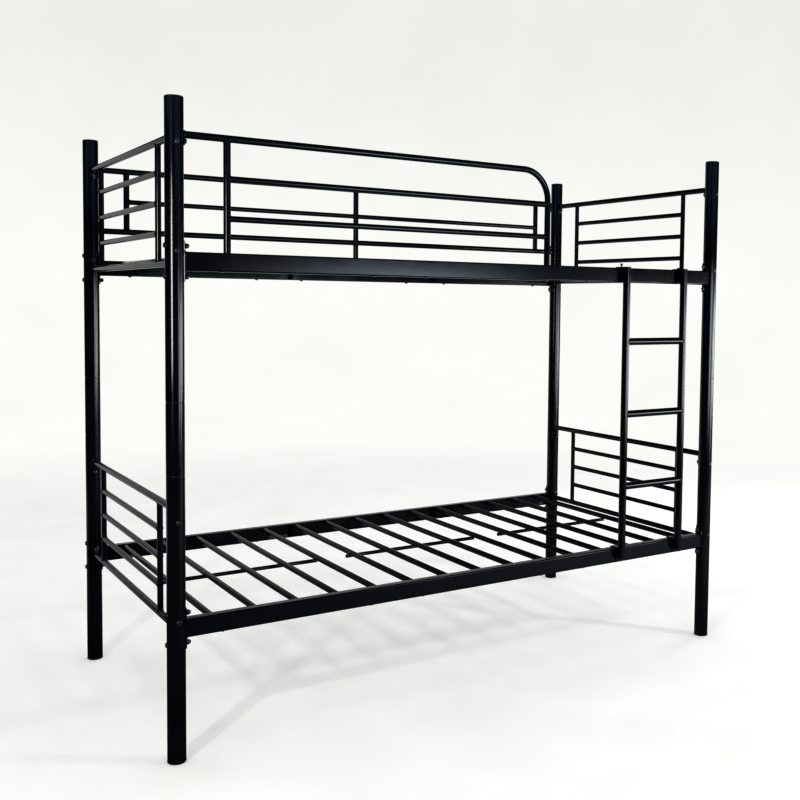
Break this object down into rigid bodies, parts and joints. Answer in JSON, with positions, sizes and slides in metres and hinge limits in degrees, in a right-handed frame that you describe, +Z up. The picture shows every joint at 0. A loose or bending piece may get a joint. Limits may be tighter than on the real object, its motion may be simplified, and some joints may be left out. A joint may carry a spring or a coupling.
{
  "type": "bunk bed with ladder",
  "caption": "Bolted steel tube bunk bed with round posts, bar end frames, guard rails, tube slat panels and a hook-on ladder at the front.",
  "frame": {"origin": "middle of the whole outline in plan, on the floor under the feet", "axes": "+X along the bed towards the ladder end, +Y from the ladder side to the wall side, +Z up"},
  "size_m": [2.0068, 0.9898, 1.745],
  "materials": {
    "black_powder_coat": "semi-gloss powder coat",
    "black_plastic": "satin moulded plastic",
    "black_hardware": "black plated steel"
  },
  "bodies": {
    "bed": {"lower_post_front_left": "black_powder_coat", "lower_post_front_right": "black_powder_coat", "lower_post_rear_left": "black_powder_coat", "lower_post_rear_right": "black_powder_coat", "middle_posts": "black_powder_coat", "upper_post_front_left": "black_powder_coat", "upper_post_front_right": "black_powder_coat", "upper_post_rear_left": "black_powder_coat", "upper_post_rear_right": "black_powder_coat", "post_spigots": "black_hardware", "post_caps": "black_plastic", "post_feet": "black_plastic", "lower_front_rail": "black_powder_coat", "lower_rear_rail": "black_powder_coat", "upper_front_rail": "black_powder_coat", "upper_rear_rail": "black_powder_coat", "rail_saddles": "black_powder_coat", "lower_left_top_bar": "black_powder_coat", "lower_left_bottom_bar": "black_powder_coat", "lower_left_uprights": "black_powder_coat", "lower_left_mid_bars": "black_powder_coat", "lower_right_top_bar": "black_powder_coat", "lower_right_bottom_bar": "black_powder_coat", "lower_right_uprights": "black_powder_coat", "lower_right_mid_bars": "black_powder_coat", "upper_left_top_bar": "black_powder_coat", "upper_left_bottom_bar": "black_powder_coat", "upper_left_uprights": "black_powder_coat", "upper_left_mid_bars": "black_powder_coat", "upper_right_top_bar": "black_powder_coat", "upper_right_bottom_bar": "black_powder_coat", "upper_right_uprights": "black_powder_coat", "upper_right_mid_bars": "black_powder_coat", "end_frame_saddles": "black_powder_coat", "post_bolts": "black_hardware", "post_nuts": "black_hardware", "front_guard_hoop": "black_powder_coat", "front_guard_upright": "black_powder_coat", "front_guard_mid_bars": "black_powder_coat", "rear_guard_top_rail": "black_powder_coat", "rear_guard_bottom_rail": "black_powder_coat", "rear_guard_uprights": "black_powder_coat", "rear_guard_mid_bars": "black_powder_coat", "guard_saddles": "black_powder_coat", "guard_bolts": "black_hardware", "guard_foot_bolts": "black_hardware", "lower_slats": "black_powder_coat", "upper_slats": "black_powder_coat", "slat_tie_rods": "black_powder_coat", "slat_cleats": "black_powder_coat", "slat_screws": "black_hardware", "ladder_lock_nuts": "black_hardware"},
    "ladder": {"ladder_left_tube": "black_powder_coat", "ladder_right_tube": "black_powder_coat", "ladder_rungs": "black_powder_coat", "ladder_top_hooks": "black_powder_coat", "ladder_bottom_hooks": "black_powder_coat", "ladder_plugs": "black_plastic", "ladder_lock_screws": "black_hardware"}
  },
  "joints": [
    {"name": "ladder_lift", "type": "slide", "parent": "bed", "child": "ladder", "axis": [0, 0, 1], "range_m": [0, 0.06]}
  ]
}
